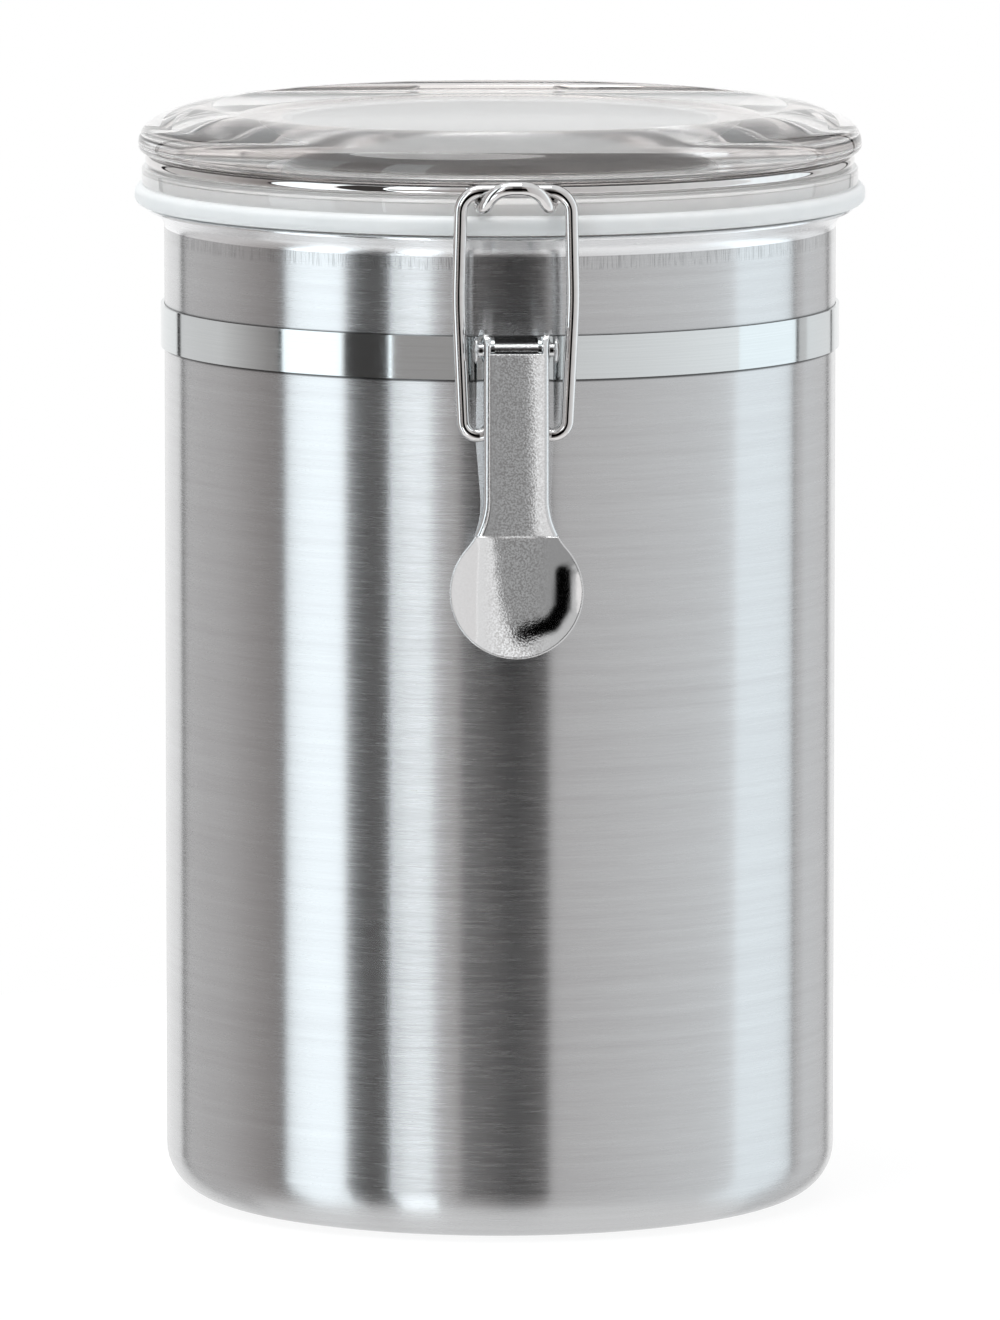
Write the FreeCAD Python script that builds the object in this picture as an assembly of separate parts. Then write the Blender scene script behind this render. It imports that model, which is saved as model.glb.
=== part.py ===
import FreeCAD, Part
import math
import os

from FreeCAD import Vector

# Food canister: a drawn steel can with a clear lid on a wire hinge and a lever latch.
# Millimetres. The origin is the centre of the base, +Z is up, the latch faces -Y, the hinge +Y.

# Can
can_radius = 58.4
can_height = 173.3
can_wall = 0.7
can_corner_radius = 8.5
foot_ring_width = 4.9
foot_slope_run = 4.0
base_recess_depth = 1.6
rim_overhang = 2.8
rim_flare_height = 3.6
rim_neck_bend = 2.4

# Strap round the can
band_below_rim = 20.8
band_width = 7.4
band_thickness = 0.6
band_seat_gap = 0.05

# Lever pivot: the strap's folded ends and the rivet through them
pivot_above_band = 2.2
pivot_stand_off = 7.6
ear_inner_half_gap = 3.7
ear_edge_margin = 0.9
ear_fold_radius = 1.2
rivet_radius = 1.2
rivet_head_overhang = 1.1
rivet_head_height = 0.9
rivet_head_gap = 0.3
rivet_fit = 0.02
running_clearance = 0.08

# Lever
lever_thickness = 0.9
lever_side_clearance = 0.15
lever_draft_spread = 1.25
lever_eye_radius = 3.4
lever_bend_radius = 1.2
lever_face_drop = 0.4
lever_crown_radius = 60.0
lever_shank_length = 25.0
crease_drop = 31.5
crease_flange_depth = 0.6
thumb_drop = 41.0
thumb_radius = 11.35
thumb_dish_depth = 1.1
thumb_dish_setback = 0.25

# Bail
wire_radius = 1.15
bail_pivot_drop = 14.8
bail_pivot_setback = 2.5
bail_eye_edge = 0.75
bail_foot_gap = 1.25
bail_belly_spread = 1.05
bail_belly_rise = 23.1
bail_hook_side_gap = 1.0
bail_foot_bend = 2.6
bail_belly_bend = 90.0
bail_top_bend = 3.6
bail_tip_inset = 1.2
bail_seat_gap = 0.12
bail_lip_gap = 0.3

# Lid
lid_wall = 2.2
lid_flange_overhang = 1.1
lid_flange_height = 3.05
lid_bulge_overhang = 0.6
lid_under_round = 1.35
lid_bulge_round = 4.6
lid_crest_rise = 6.6
lid_crest_inset = 12.9
lid_panel_slope_run = 4.6
lid_panel_depth = 1.9
lid_crest_blend = 5.0
lid_edge_round = 0.5
lid_inner_round = 2.0
lid_skirt_thickness = 1.1
lid_shelf_thickness = 1.1
lid_plug_gap = 2.7
lid_plug_depth = 5.4

# Wire ring in the lid's groove, with the hook at the front and two hinge legs at the back
ring_inset = 1.75
groove_clearance = 0.1
hook_root_half_width = 6.4
hook_root_bend = 2.2
hook_root_run = 4.4
hook_level_run = 2.55
hook_level_half_width = 6.1
hook_low_run = 6.55
hook_low_drop = 3.3
hook_low_half_width = 6.0
hook_crown_run = 9.55
hook_crown_rise = 1.15
hook_crown_half_width = 3.4
hook_level_bend = 1.7
hook_low_bend = 2.2
hook_crown_bend = 4.2
leg_side_gap = 1.65
leg_root_run = 3.6
leg_root_bend = 2.4
leg_top_bend = 3.2
leg_foot_bend = 2.4
leg_tip_inset = 1.4

# Seal between lid and can
seal_height = 3.3
seal_overhang = 1.2
seal_edge_round = 1.3
seal_rest_gap = 0.35
seal_plug_gap = 0.05
seal_flange_gap = 0.05

# Hinge bracket on the back of the strap
hinge_clearance = 1.0
hinge_plate_height = 8.2
hinge_plate_thickness = 0.8
hinge_fold_radius = 0.6
hinge_ear_half_width = 10.8
hinge_ear_margin = 1.55
hinge_seat_gap = 0.05

# Places that several pieces share
rim_lip_radius = can_radius + rim_overhang
band_centre_height = can_height - band_below_rim
pivot_height = band_centre_height + pivot_above_band
pivot_reach = can_radius + pivot_stand_off
groove_radius = wire_radius + groove_clearance
lid_flange_radius = rim_lip_radius + lid_flange_overhang
lid_flange_bottom = can_height + seal_rest_gap + seal_height + seal_flange_gap
lid_plug_radius = can_radius - can_wall - lid_plug_gap
seal_outer_radius = lid_flange_radius + seal_overhang
ring_radius = lid_flange_radius - ring_inset
ring_height = lid_flange_bottom + lid_flange_height + groove_radius
hinge_reach = seal_outer_radius + hinge_clearance
hinge_height = band_centre_height

os.makedirs("parts", exist_ok=True)
AXIS_X = Vector(1, 0, 0)
AXIS_Y = Vector(0, 1, 0)
AXIS_Z = Vector(0, 0, 1)
ORIGIN = Vector(0, 0, 0)


def line(start, end):
    return Part.LineSegment(start, end).toShape()


def arc(start, middle, end):
    return Part.Arc(start, middle, end).toShape()


def rounded_path(points, bends):
    """Straight runs through the points, with a tangent arc of the given radius at each inner point."""
    edges = []
    last = points[0]
    for before, corner, after, bend in zip(points, points[1:], points[2:], bends):
        back = (before - corner).normalize()
        ahead = (after - corner).normalize()
        half_angle = back.getAngle(ahead) / 2
        setback = bend / math.tan(half_angle)
        inward = (back + ahead).normalize()
        start = corner + back * setback
        end = corner + ahead * setback
        middle = corner + inward * (bend / math.sin(half_angle) - bend)
        if (start - last).Length > 1e-6:
            edges.append(line(last, start))
        edges.append(arc(start, middle, end))
        last = end
    edges.append(line(last, points[-1]))
    return edges


def wire_along(edges, start, direction):
    """A round wire swept along a chain of tangent edges."""
    section = Part.Wire(Part.makeCircle(wire_radius, start, direction))
    path = Part.Wire(edges)
    return path.makePipeShell([section], True, False)


def revolved(edges, axis=AXIS_Z, angle=360, base=ORIGIN):
    return Part.Face(Part.Wire(edges)).revolve(base, axis, angle)


def polygon(points):
    return [line(a, b) for a, b in zip(points, points[1:] + points[:1])]


def ring_section(inner, outer, low, high):
    corners = [(inner, low), (outer, low), (outer, high), (inner, high)]
    return polygon([Vector(r, 0, z) for r, z in corners])


def along_x(shape_edges, half_width):
    """A solid of the side outline, drawn at x = 0 and thickened evenly to both sides."""
    solid = Part.Face(Part.Wire(shape_edges)).extrude(AXIS_X * (2 * half_width))
    solid.translate(AXIS_X * -half_width)
    return solid


def cylinder_x(radius, half_length, y, z):
    return Part.makeCylinder(radius, 2 * half_length, Vector(-half_length, y, z), AXIS_X)


def mirrored(shape):
    return shape.mirror(ORIGIN, AXIS_X)


def round_profile_point(radius, degrees, centre_r, centre_z):
    turn = math.radians(degrees)
    return Vector(centre_r + radius * math.cos(turn), 0, centre_z + radius * math.sin(turn))


def save(name, shape):
    if shape.ShapeType == "Compound" and len(shape.Solids) == 1:
        shape = shape.Solids[0]
    shape.exportStep(f"parts/{name}.step")
    print(f"{name}: {len(shape.Solids)} solid, {shape.Volume:.1f} mm3, valid {shape.isValid()}")


# Can: one wall of even thickness, revolved from the base recess to the hemmed lip


def can_profile(offset):
    """The wall's outer line (offset 0) or inner line (offset can_wall), from the axis to the lip."""
    corner = can_corner_radius - offset
    side = can_radius - offset
    corner_r = can_radius - can_corner_radius
    foot_r = corner_r - foot_ring_width
    flare_start = can_height - rim_flare_height
    lip_height = can_height - can_wall + offset
    bend_mid = round_profile_point(rim_neck_bend + offset, 157.5, side + rim_neck_bend + offset, flare_start)
    bend_end = round_profile_point(rim_neck_bend + offset, 135, side + rim_neck_bend + offset, flare_start)
    lip_start = Vector(bend_end.x + lip_height - bend_end.z, 0, lip_height)
    points = {
        "axis": Vector(0, 0, base_recess_depth + offset),
        "recess": Vector(foot_r - foot_slope_run, 0, base_recess_depth + offset),
        "foot": Vector(foot_r, 0, offset),
        "corner_low": Vector(corner_r, 0, offset),
        "corner_mid": round_profile_point(corner, -45, corner_r, can_corner_radius),
        "corner_high": Vector(side, 0, can_corner_radius),
        "neck": Vector(side, 0, flare_start),
        "lip": Vector(rim_lip_radius, 0, lip_height),
    }
    edges = [
        line(points["axis"], points["recess"]),
        line(points["recess"], points["foot"]),
        line(points["foot"], points["corner_low"]),
        arc(points["corner_low"], points["corner_mid"], points["corner_high"]),
        line(points["corner_high"], points["neck"]),
        arc(points["neck"], bend_mid, bend_end),
        line(bend_end, lip_start),
        line(lip_start, points["lip"]),
    ]
    return edges, points


outer_edges, outer_points = can_profile(0)
inner_edges, inner_points = can_profile(can_wall)
lip_round_mid = Vector(rim_lip_radius + can_wall / 2, 0, can_height - can_wall / 2)
can_edges = outer_edges + [arc(outer_points["lip"], lip_round_mid, inner_points["lip"])]
can_edges += inner_edges[::-1] + [line(inner_points["axis"], outer_points["axis"])]
can = revolved(Part.__sortEdges__(can_edges))
save("canister_body", can)

# Strap: a flat band whose two ends fold outward as ears for the lever's rivet

band_inner = can_radius + band_seat_gap
band_outer = band_inner + band_thickness
band_low = band_centre_height - band_width / 2
band_high = band_centre_height + band_width / 2
pivot = Vector(0, -pivot_reach, pivot_height)
ear_outer = ear_inner_half_gap + band_thickness
ear_end_radius = rivet_radius + ear_edge_margin
gap_half_angle = math.degrees(math.asin(ear_inner_half_gap / band_inner))

band = revolved(ring_section(band_inner, band_outer, band_low, band_high), angle=360 - 2 * gap_half_angle)
band.rotate(ORIGIN, AXIS_Z, -90 + gap_half_angle)
ear_root_y = -math.sqrt(band_inner**2 - ear_outer**2)
ear_slope = math.atan2(band_high - pivot_height, pivot_reach + ear_root_y)
ear_slope -= math.asin(ear_end_radius / math.hypot(band_high - pivot_height, pivot_reach + ear_root_y))
ear_top = pivot + Vector(0, -math.sin(ear_slope), math.cos(ear_slope)) * ear_end_radius
ear_under_slope = math.atan2(pivot_height - band_low, pivot_reach + ear_root_y)
ear_under_slope -= math.asin(ear_end_radius / math.hypot(pivot_height - band_low, pivot_reach + ear_root_y))
ear_bottom = pivot + Vector(0, -math.sin(ear_under_slope), -math.cos(ear_under_slope)) * ear_end_radius
ear_nose = pivot + Vector(0, -ear_end_radius, 0)
ear_root_high = Vector(0, ear_root_y, band_high)
ear_root_low = Vector(0, ear_root_y, band_low)
ear_outline = [
    line(ear_root_low, ear_root_high),
    line(ear_root_high, ear_top),
    arc(ear_top, ear_nose, ear_bottom),
    line(ear_bottom, ear_root_low),
]
ear = Part.Face(Part.Wire(ear_outline)).extrude(AXIS_X * band_thickness)
ear.translate(AXIS_X * ear_inner_half_gap)
ear = ear.cut(cylinder_x(rivet_radius + rivet_fit, 2 * ear_outer, pivot.y, pivot.z))
band = band.fuse([ear, mirrored(ear)]).removeSplitter()
fold_y = -math.sqrt(band_outer**2 - ear_outer**2)


def is_fold(edge):
    """The upright inside corner where an ear leaves the strap's outer face."""
    ends = [v.Point for v in edge.Vertexes]
    if len(ends) != 2 or abs(ends[0].z - ends[1].z) < band_width / 2:
        return False
    return all(abs(abs(p.x) - ear_outer) < 0.01 and abs(p.y - fold_y) < 0.01 for p in ends)


band = band.makeFillet(ear_fold_radius, [e for e in band.Edges if is_fold(e)])
save("clamp_band", band)

# Lever: a drafted channel with eyes round the rivet, creased at its end into a dished thumb tab

bail_pivot = Vector(0, -pivot_reach + bail_pivot_setback, pivot_height - bail_pivot_drop)
bail_eye_margin = wire_radius + bail_eye_edge
lever_face = -pivot_reach - lever_eye_radius
lever_back = bail_pivot.y + bail_eye_margin
lever_face_half_width = ear_outer + lever_side_clearance + lever_thickness
thumb_centre = Vector(0, lever_face, pivot_height - thumb_drop)
shank_end = pivot_height - lever_shank_length
crease_height = pivot_height - crease_drop
eye_top = pivot_height + lever_eye_radius


def sweep_arc(half_width, y, start_height):
    """Start, middle and end of the arc that sweeps from the shank's side out to the thumb tab's circle."""
    drop = shank_end - thumb_centre.z
    sweep = (half_width**2 + drop**2 - thumb_radius**2) / (2 * (thumb_radius - half_width))
    start_turn = math.asin((shank_end - start_height) / sweep)
    end_turn = math.atan2(drop, half_width + sweep)
    points = []
    for turn in (start_turn, (start_turn + end_turn) / 2, end_turn):
        points.append(Vector(half_width + sweep * (1 - math.cos(turn)), y, shank_end - sweep * math.sin(turn)))
    return points


def left_of(points):
    return [Vector(-p.x, p.y, p.z) for p in points]


def shank_outline(half_width, y):
    """The channel's front outline at one depth: straight sides that sweep out to the thumb tab."""
    right = [Vector(half_width, y, eye_top)] + sweep_arc(half_width, y, shank_end)
    left = left_of(right)
    return Part.Wire([
        line(left[0], right[0]),
        line(right[0], right[1]),
        arc(right[1], right[2], right[3]),
        line(right[3], left[3]),
        arc(left[3], left[2], left[1]),
        line(left[1], left[0]),
    ])


def thumb_outline(half_width, y):
    """The thumb tab's outline below the crease: the ends of both sweeps joined by the tab's round edge."""
    right = sweep_arc(half_width, y, crease_height)
    left = left_of(right)
    lowest = Vector(0, y, thumb_centre.z - thumb_radius)
    return Part.Wire([
        line(left[0], right[0]),
        arc(right[0], right[1], right[2]),
        arc(right[2], lowest, left[2]),
        arc(left[2], left[1], left[0]),
    ])


draft = lever_draft_spread / (lever_back - lever_face)


def lever_half_width(y):
    """Half the channel's outer width at one depth."""
    return lever_face_half_width + draft * (y - lever_face)


def shank_block(inset, back):
    """The channel's outer or inner form: drafted sides, a slightly crowned front, its edges bent round."""
    front = lever_face - lever_thickness
    ends = [shank_outline(lever_half_width(y) - inset, y) for y in (front, back)]
    crown = lever_crown_radius - inset
    crown_axis = Vector(0, lever_face + lever_crown_radius, crease_height - thumb_radius)
    crown_form = Part.makeCylinder(crown, 2 * thumb_drop, crown_axis, AXIS_Z)
    block = Part.makeLoft(ends, True, True).common(crown_form)
    front_edges = []
    for edge in block.Edges:
        reach = [math.hypot(v.X, v.Y - crown_axis.y) for v in edge.Vertexes]
        if edge.BoundBox.ZLength > lever_eye_radius and all(abs(r - crown) < 0.01 for r in reach):
            front_edges.append(edge)
    return block.makeFillet(lever_bend_radius - inset, front_edges)


shank = shank_block(0, lever_back)
shank = shank.cut(shank_block(lever_thickness, lever_back + lever_thickness))

side_outline = polygon([
    Vector(0, lever_face - lever_thickness, pivot_height),
    Vector(0, pivot.y + lever_eye_radius, pivot_height),
    Vector(0, lever_back, bail_pivot.z + 2 * bail_eye_margin),
    Vector(0, lever_back, bail_pivot.z - bail_eye_margin),
    Vector(0, lever_face + lever_thickness + crease_flange_depth, crease_height),
    Vector(0, lever_face - lever_thickness, crease_height),
])
side_form = along_x(side_outline, 2 * thumb_radius)
side_form = side_form.fuse(cylinder_x(lever_eye_radius, 2 * thumb_radius, pivot.y, pivot.z))
shank = shank.common(side_form)
face_top = pivot_height - lever_face_drop
notch_half_width = lever_face_half_width - lever_thickness
notch = Part.makeBox(
    2 * notch_half_width,
    pivot_reach,
    lever_eye_radius * 2,
    Vector(-notch_half_width, lever_face, face_top),
)
shank = shank.cut(notch)

dish_radius = (thumb_radius**2 + thumb_dish_depth**2) / (2 * thumb_dish_depth)
crease_reach = math.sqrt(dish_radius**2 - (crease_height - thumb_centre.z) ** 2)
dish_centre = Vector(0, lever_face + thumb_dish_setback - crease_reach, thumb_centre.z)
dish = Part.makeSphere(dish_radius + lever_thickness, dish_centre)
dish = dish.cut(Part.makeSphere(dish_radius, dish_centre))
tab_form = Part.Face(thumb_outline(lever_face_half_width, lever_face - thumb_radius))
dish = dish.common(tab_form.extrude(AXIS_Y * (2 * thumb_radius)))
lever = shank.fuse(dish)
lever = lever.cut(cylinder_x(rivet_radius + running_clearance, 2 * thumb_radius, pivot.y, pivot.z))
lever = lever.cut(cylinder_x(wire_radius + running_clearance, 2 * thumb_radius, bail_pivot.y, bail_pivot.z))
save("latch_lever", lever)

# Rivet: a shaft through ears and lever, with a low dome at each end

rivet_head_radius = rivet_radius + rivet_head_overhang
head_base = lever_half_width(pivot.y + rivet_head_radius) + rivet_head_gap
head_edge = head_base + rivet_head_height / 3
head_top = head_base + rivet_head_height
cap_height = head_top - head_edge
cap_radius = (rivet_head_radius**2 + cap_height**2) / (2 * cap_height)
cap_half_turn = math.asin(rivet_head_radius / cap_radius) / 2
cap_mid_x = head_top - cap_radius * (1 - math.cos(cap_half_turn))
cap_mid = Vector(cap_mid_x, cap_radius * math.sin(cap_half_turn), 0)
half_rivet = [
    Vector(0, rivet_radius, 0),
    Vector(head_base, rivet_radius, 0),
    Vector(head_base, rivet_head_radius, 0),
    Vector(head_edge, rivet_head_radius, 0),
]
half_edges = [line(a, b) for a, b in zip(half_rivet, half_rivet[1:])]
half_edges.append(arc(half_rivet[-1], cap_mid, Vector(head_top, 0, 0)))
rivet_edges = half_edges + [mirrored(e) for e in half_edges]
rivet_edges.append(line(Vector(-head_top, 0, 0), Vector(head_top, 0, 0)))
rivet = revolved(Part.__sortEdges__(rivet_edges), AXIS_X)
rivet.translate(pivot)
save("lever_rivet", rivet)

# Bail: a bent wire loop from one eye of the lever over the hook's seat to the other eye

hook_level = Vector(0, -ring_radius - hook_level_run, ring_height)
hook_low = Vector(0, -ring_radius - hook_low_run, ring_height - hook_low_drop)
hook_crown = Vector(0, -ring_radius - hook_crown_run, ring_height + hook_crown_rise)
inner_run = (hook_low - hook_level).normalize()
outer_run = (hook_crown - hook_low).normalize()
inner_normal = Vector(0, inner_run.z, -inner_run.y)
outer_normal = Vector(0, outer_run.z, -outer_run.y)
inner_lift = 2 * wire_radius + bail_seat_gap
outer_lift = 2 * wire_radius + bail_lip_gap
along_outer = (inner_lift - outer_lift * outer_normal.dot(inner_normal)) / outer_run.dot(inner_normal)
bail_bar = hook_low + outer_normal * outer_lift + outer_run * along_outer


def bail_point(x, z):
    """A point of the bail's plane, which leans from the lever's eyes to the bar."""
    lean = (bail_bar.y - bail_pivot.y) * (z - bail_pivot.z) / (bail_bar.z - bail_pivot.z)
    return Vector(x, bail_pivot.y + lean, z)


eye_half_width = lever_half_width(bail_pivot.y)
bail_foot_half_width = eye_half_width + bail_foot_gap + wire_radius
bail_top_half_width = hook_low_half_width + bail_hook_side_gap + 2 * wire_radius
bail_side = [
    bail_point(eye_half_width - lever_thickness - bail_tip_inset, bail_pivot.z),
    bail_point(bail_foot_half_width, bail_pivot.z),
    bail_point(bail_foot_half_width + bail_belly_spread, bail_pivot.z + bail_belly_rise),
    bail_point(bail_top_half_width, bail_bar.z),
]
bail_points = left_of(bail_side) + bail_side[::-1]
bail_bends = [bail_foot_bend, bail_belly_bend, bail_top_bend]
bail_path = rounded_path(bail_points, bail_bends + bail_bends[::-1])
bail = wire_along(bail_path, bail_points[0], AXIS_X)
save("bail_wire", bail)

# Hinge bracket: a curved plate on the strap with two ears for the lid wire's ends

hinge = Vector(0, hinge_reach, hinge_height)
hinge_ear_radius = wire_radius + hinge_ear_margin
plate_inner = band_outer + hinge_seat_gap
plate_outer = plate_inner + hinge_plate_thickness
plate_low = hinge_height - hinge_plate_height / 2
plate_high = hinge_height + hinge_plate_height / 2
plate_half_angle = math.degrees(math.asin(hinge_ear_half_width / plate_outer))
plate = revolved(ring_section(plate_inner, plate_outer, plate_low, plate_high), angle=2 * plate_half_angle)
plate.rotate(ORIGIN, AXIS_Z, 90 - plate_half_angle)
plate_edge_y = math.sqrt(plate_outer**2 - hinge_ear_half_width**2)
hinge_root_y = plate_edge_y - hinge_plate_thickness / 2
ear_run = hinge_reach - hinge_root_y
root_half_height = hinge_plate_height / 2
ear_turn = math.atan2(root_half_height, ear_run) - math.asin(hinge_ear_radius / math.hypot(root_half_height, ear_run))
tangent_high = hinge + Vector(0, math.sin(ear_turn), math.cos(ear_turn)) * hinge_ear_radius
tangent_low = hinge + Vector(0, math.sin(ear_turn), -math.cos(ear_turn)) * hinge_ear_radius
hinge_outline = [
    line(Vector(0, hinge_root_y, plate_low), Vector(0, hinge_root_y, plate_high)),
    line(Vector(0, hinge_root_y, plate_high), tangent_high),
    arc(tangent_high, hinge + AXIS_Y * hinge_ear_radius, tangent_low),
    line(tangent_low, Vector(0, hinge_root_y, plate_low)),
]
hinge_ear = Part.Face(Part.Wire(hinge_outline)).extrude(AXIS_X * hinge_plate_thickness)
hinge_ear.translate(AXIS_X * (hinge_ear_half_width - hinge_plate_thickness))
bracket = plate.fuse([hinge_ear, mirrored(hinge_ear)]).removeSplitter()
inside_corner_y = math.sqrt(plate_outer**2 - (hinge_ear_half_width - hinge_plate_thickness) ** 2)


def is_hinge_fold(edge):
    """The upright inside corner where a hinge ear leaves the plate's outer face."""
    box = edge.BoundBox
    on_plate = abs(box.YMin - inside_corner_y) + abs(box.YMax - inside_corner_y) < 0.02
    return on_plate and box.ZLength > hinge_plate_height / 2


bracket = bracket.makeFillet(hinge_fold_radius, [e for e in bracket.Edges if is_hinge_fold(e)])
bracket = bracket.cut(cylinder_x(wire_radius + running_clearance, 2 * hinge_ear_half_width, hinge.y, hinge.z))
save("hinge_bracket", bracket)

# Lid wire: a ring in the lid's groove, bent out to a hook at the front and to two legs at the back


def ring_tangent(half_width, run):
    """Where a straight run leaves the ring, and the corner at its end, for a corner at this half width."""
    corner_radius = math.hypot(ring_radius, run)
    corner_turn = math.asin(half_width / corner_radius)
    leave_turn = corner_turn + math.atan2(run, ring_radius)
    corner = (half_width, corner_radius * math.cos(corner_turn))
    leave = (ring_radius * math.sin(leave_turn), ring_radius * math.cos(leave_turn))
    return corner, leave


leg_half_width = hinge_ear_half_width + leg_side_gap + wire_radius
(leg_x, leg_root_y), (leg_leave_x, leg_leave_y) = ring_tangent(leg_half_width, leg_root_run)
(hook_x, hook_root_y), (hook_leave_x, hook_leave_y) = ring_tangent(hook_root_half_width, hook_root_run)
leg_tip_x = hinge_ear_half_width - hinge_plate_thickness - leg_tip_inset
left_leg = [
    Vector(-leg_tip_x, hinge_reach, hinge_height),
    Vector(-leg_x, hinge_reach, hinge_height),
    Vector(-leg_x, hinge_reach, ring_height),
    Vector(-leg_x, leg_root_y, ring_height),
    Vector(-leg_leave_x, leg_leave_y, ring_height),
]
left_hook = [
    Vector(-hook_leave_x, -hook_leave_y, ring_height),
    Vector(-hook_x, -hook_root_y, ring_height),
    hook_level - AXIS_X * hook_level_half_width,
    hook_low - AXIS_X * hook_low_half_width,
    hook_crown - AXIS_X * hook_crown_half_width,
]
hook_bends = [hook_root_bend, hook_level_bend, hook_low_bend, hook_crown_bend]
hook_points = left_hook + left_of(left_hook[::-1])
leg_edges = rounded_path(left_leg, [leg_foot_bend, leg_top_bend, leg_root_bend])
hook_edges = rounded_path(hook_points, hook_bends + hook_bends[::-1])
ring_edge = arc(left_leg[-1], Vector(-ring_radius, 0, ring_height), left_hook[0])
lid_wire_edges = leg_edges + [ring_edge] + hook_edges
lid_wire_edges += [mirrored(ring_edge)] + [mirrored(e) for e in leg_edges[::-1]]
lid_wire_path = Part.__sortEdges__(lid_wire_edges)
lid_wire = wire_along(lid_wire_path, left_leg[0], AXIS_X)
save("lid_wire", lid_wire)

# Lid: one clear shell with a bulged rim, a wire groove, a flange, a plug wall and a sunken top panel

groove_floor = ring_radius - groove_radius
groove_top = ring_height + groove_radius
groove_bottom = ring_height - groove_radius
lid_bulge_radius = lid_flange_radius + lid_bulge_overhang
lid_bulge_height = groove_top + lid_under_round
lid_crest_radius = lid_bulge_radius - lid_crest_inset
lid_panel_radius = lid_crest_radius - lid_panel_slope_run
lid_top_height = lid_bulge_height + lid_crest_rise
panel_height = lid_top_height - lid_panel_depth
under_panel = panel_height - lid_wall
crest_round = lid_crest_inset**2 + lid_crest_rise**2 - 2 * lid_crest_inset * lid_bulge_round
crest_round = crest_round / (2 * (lid_crest_rise - lid_bulge_round))
bulge_centre = Vector(lid_bulge_radius - lid_bulge_round, 0, lid_bulge_height)
crest_centre = Vector(lid_crest_radius, 0, lid_top_height - crest_round)
meet_turn = math.degrees(math.atan2(bulge_centre.z - crest_centre.z, bulge_centre.x - crest_centre.x))
plug_inner = lid_plug_radius - lid_wall
lid_plug_bottom = lid_flange_bottom - lid_plug_depth
skirt_inner = lid_flange_radius - lid_skirt_thickness
shelf_bottom = groove_bottom - lid_shelf_thickness


def at(radius, height):
    return Vector(radius, 0, height)


rim_low = at(lid_bulge_radius, lid_bulge_height)
rim_meet = round_profile_point(lid_bulge_round, meet_turn, bulge_centre.x, bulge_centre.z)
rim_high = at(lid_crest_radius, lid_top_height)
rim_low_mid = round_profile_point(lid_bulge_round, meet_turn / 2, bulge_centre.x, bulge_centre.z)
rim_high_mid = round_profile_point(crest_round, (meet_turn + 90) / 2, crest_centre.x, crest_centre.z)
under_start = at(lid_bulge_radius - lid_under_round, groove_top)
under_mid = round_profile_point(lid_under_round, -45, under_start.x, lid_bulge_height)
underside = polygon([
    at(ring_radius, groove_bottom),
    at(lid_flange_radius, groove_bottom),
    at(lid_flange_radius, lid_flange_bottom),
    at(skirt_inner, lid_flange_bottom),
    at(skirt_inner, shelf_bottom),
    at(lid_plug_radius, shelf_bottom),
    at(lid_plug_radius, lid_plug_bottom),
    at(plug_inner, lid_plug_bottom),
    at(plug_inner, under_panel),
    at(0, under_panel),
    at(0, panel_height),
    at(lid_panel_radius, panel_height),
    rim_high,
])[:-1]
lid_edges = [
    arc(rim_high, rim_high_mid, rim_meet),
    arc(rim_meet, rim_low_mid, rim_low),
    arc(rim_low, under_mid, under_start),
    line(under_start, at(ring_radius, groove_top)),
    arc(at(ring_radius, groove_top), at(groove_floor, ring_height), at(ring_radius, groove_bottom)),
]
lid = revolved(Part.__sortEdges__(lid_edges + underside))


def circles_at(shape, places):
    """The round edges of a turned solid at these radii and heights."""
    found = []
    for edge in shape.Edges:
        box = edge.BoundBox
        if edge.Closed and any(abs(box.XMax - p.x) + abs(box.ZMax - p.z) < 0.01 for p in places):
            found.append(edge)
    return found


lid = lid.makeFillet(lid_crest_blend, circles_at(lid, [rim_high, at(lid_panel_radius, panel_height)]))
sharp_corners = [
    at(lid_flange_radius, groove_bottom),
    at(lid_flange_radius, lid_flange_bottom),
    at(lid_plug_radius, lid_plug_bottom),
    at(plug_inner, lid_plug_bottom),
]
lid = lid.makeFillet(lid_edge_round, circles_at(lid, sharp_corners))
lid = lid.makeFillet(lid_inner_round, circles_at(lid, [at(plug_inner, under_panel)]))
save("lid", lid)

# Seal: a soft ring round the plug, stepped up inside the skirt and standing a little proud of the flange

seal_high = lid_flange_bottom - seal_flange_gap
seal_low = seal_high - seal_height
seal_inner = lid_plug_radius + seal_plug_gap
seal_step = skirt_inner - seal_flange_gap
seal_step_top = shelf_bottom - seal_flange_gap
seal = revolved(polygon([
    at(seal_inner, seal_low),
    at(seal_outer_radius, seal_low),
    at(seal_outer_radius, seal_high),
    at(seal_step, seal_high),
    at(seal_step, seal_step_top),
    at(seal_inner, seal_step_top),
]))
seal_corners = [at(seal_outer_radius, seal_low), at(seal_outer_radius, seal_high)]
seal = seal.makeFillet(seal_edge_round, circles_at(seal, seal_corners))
save("lid_gasket", seal)
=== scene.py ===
# %% [markdown]
# # A food canister with a lever latch
# The real object is a tall steel can with a clear lid. A wire ring in the lid's groove is its hinge at the back and a
# hook at the front, and a lever with a wire bail pulls that hook down on a soft seal. The forms come from the packed
# CAD model, so this lesson is mostly about finishes and light. The first cell loads that model.

# %% Load the imported model
import math

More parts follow.
